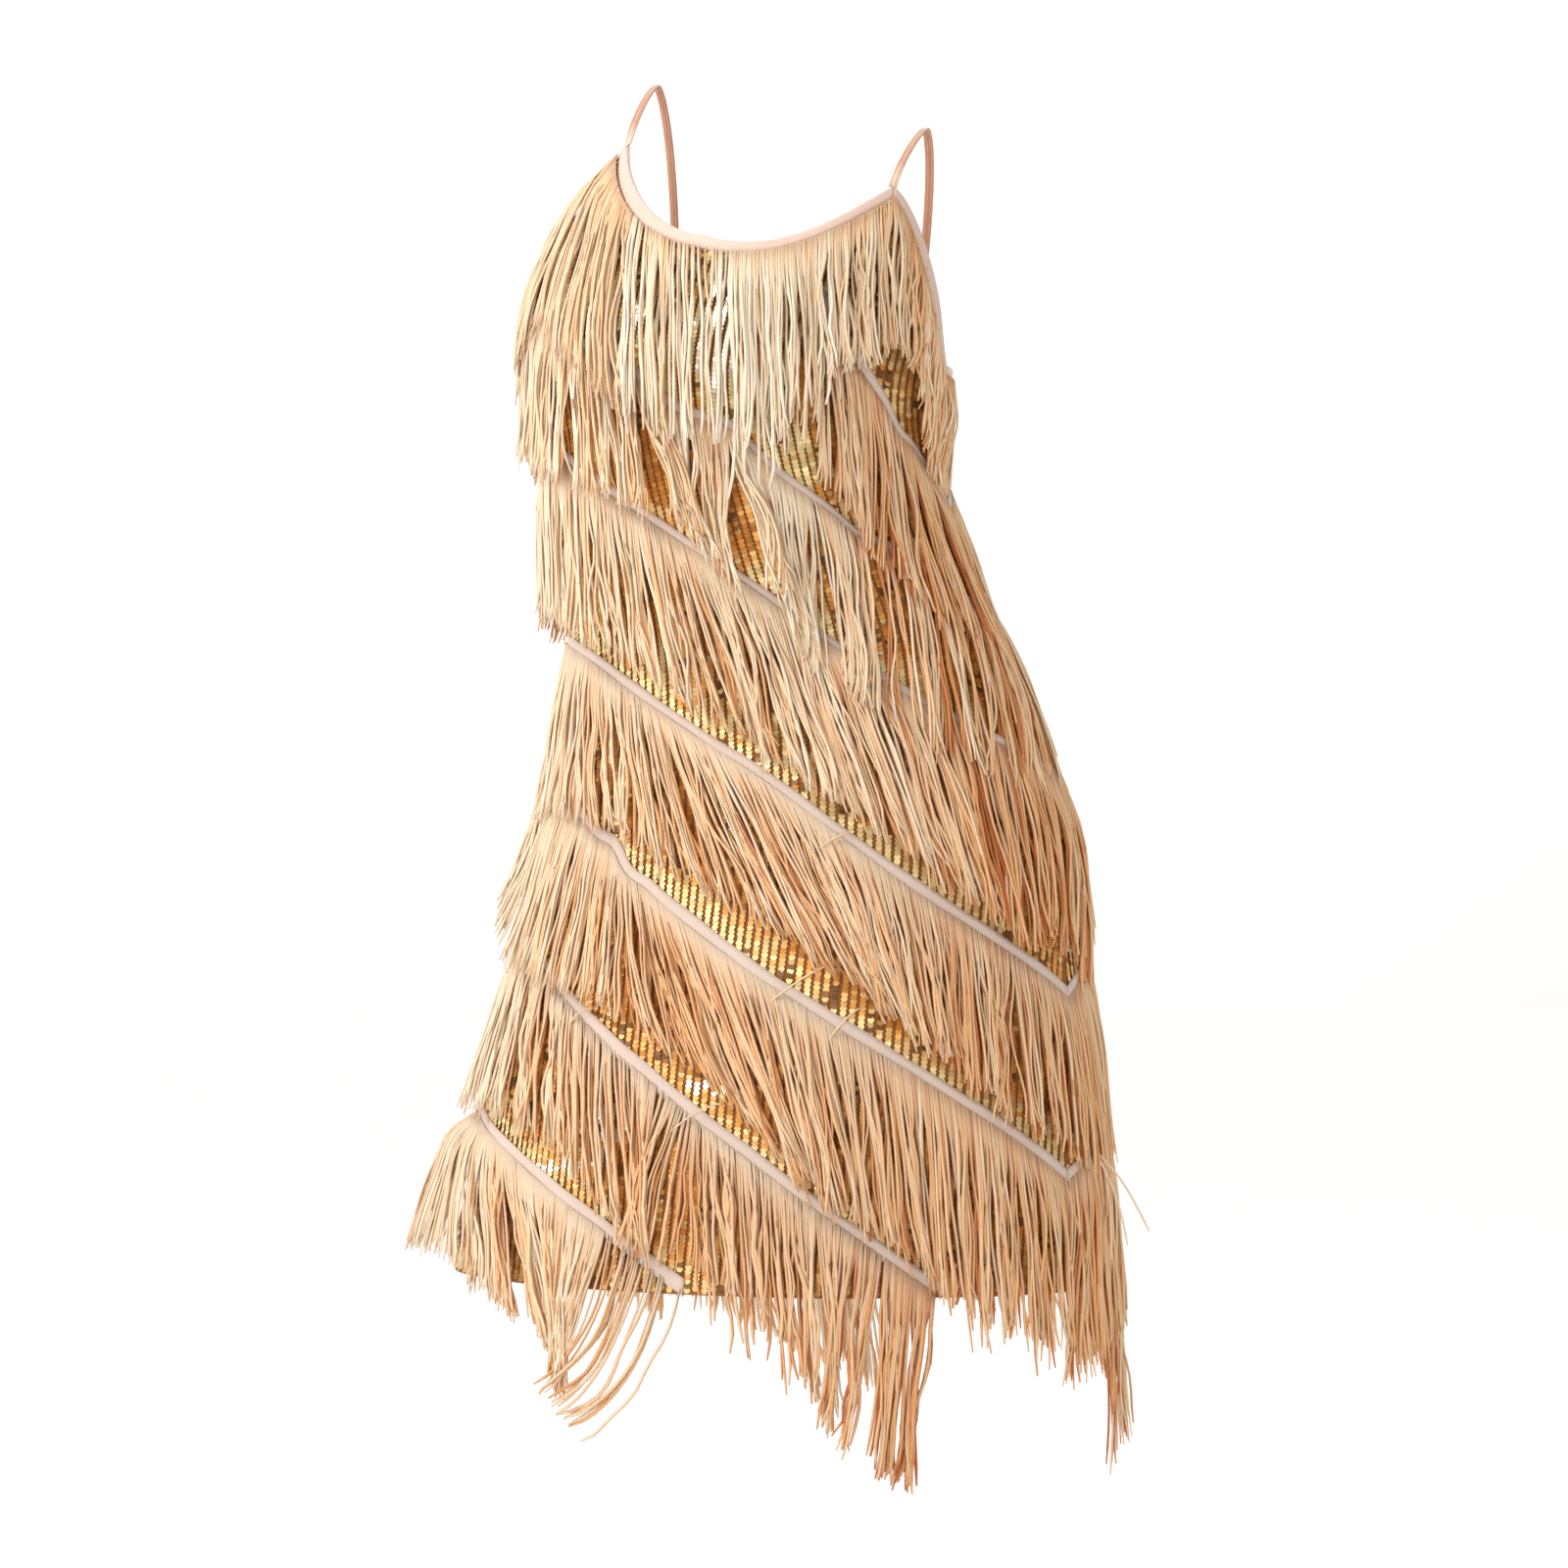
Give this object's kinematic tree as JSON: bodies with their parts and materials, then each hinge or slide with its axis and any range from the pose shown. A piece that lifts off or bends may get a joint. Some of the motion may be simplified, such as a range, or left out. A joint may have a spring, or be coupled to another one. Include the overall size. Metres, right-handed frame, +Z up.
{
  "type": "fringe latin dance dress",
  "caption": "Sleeveless sequin shift dance dress on thin straps, with a scooped neck and sloping rows of long hanging fringe, held in its worn shape.",
  "frame": {"origin": "midway between the tops of the two straps, where the wearer's shoulders carry the dress", "axes": "+Z up the wearer, +X towards the wearer's left, -Y towards the front of the dress"},
  "size_m": [0.5116, 0.3471, 1.0096],
  "materials": {
    "sequin_fabric": "gold sequins on knit",
    "satin": "satin",
    "woven_tape": "matt woven",
    "fringe_yarn": "soft sheen"
  },
  "bodies": {
    "root": {"front_panel": "sequin_fabric", "back_panel": "sequin_fabric", "neck_binding": "satin", "armhole_binding_right": "satin", "armhole_binding_left": "satin", "back_binding": "satin", "strap_right": "satin", "strap_left": "satin", "fringe_front_a": "fringe_yarn", "fringe_back_a": "fringe_yarn", "tape_front_b": "woven_tape", "tape_front_c": "woven_tape", "tape_front_d": "woven_tape", "tape_front_e": "woven_tape", "tape_front_f": "woven_tape", "tape_front_g": "woven_tape", "tape_front_h": "woven_tape", "fringe_front_b": "fringe_yarn", "fringe_front_c": "fringe_yarn", "fringe_front_d": "fringe_yarn", "fringe_front_e": "fringe_yarn", "fringe_front_f": "fringe_yarn", "fringe_front_g": "fringe_yarn", "fringe_front_h": "fringe_yarn", "tape_back_b": "woven_tape", "tape_back_c": "woven_tape", "tape_back_d": "woven_tape", "tape_back_e": "woven_tape", "tape_back_f": "woven_tape", "tape_back_g": "woven_tape", "tape_back_h": "woven_tape", "fringe_back_b": "fringe_yarn", "fringe_back_c": "fringe_yarn", "fringe_back_d": "fringe_yarn", "fringe_back_e": "fringe_yarn", "fringe_back_f": "fringe_yarn", "fringe_back_g": "fringe_yarn", "fringe_back_h": "fringe_yarn"}
  },
  "joints": []
}
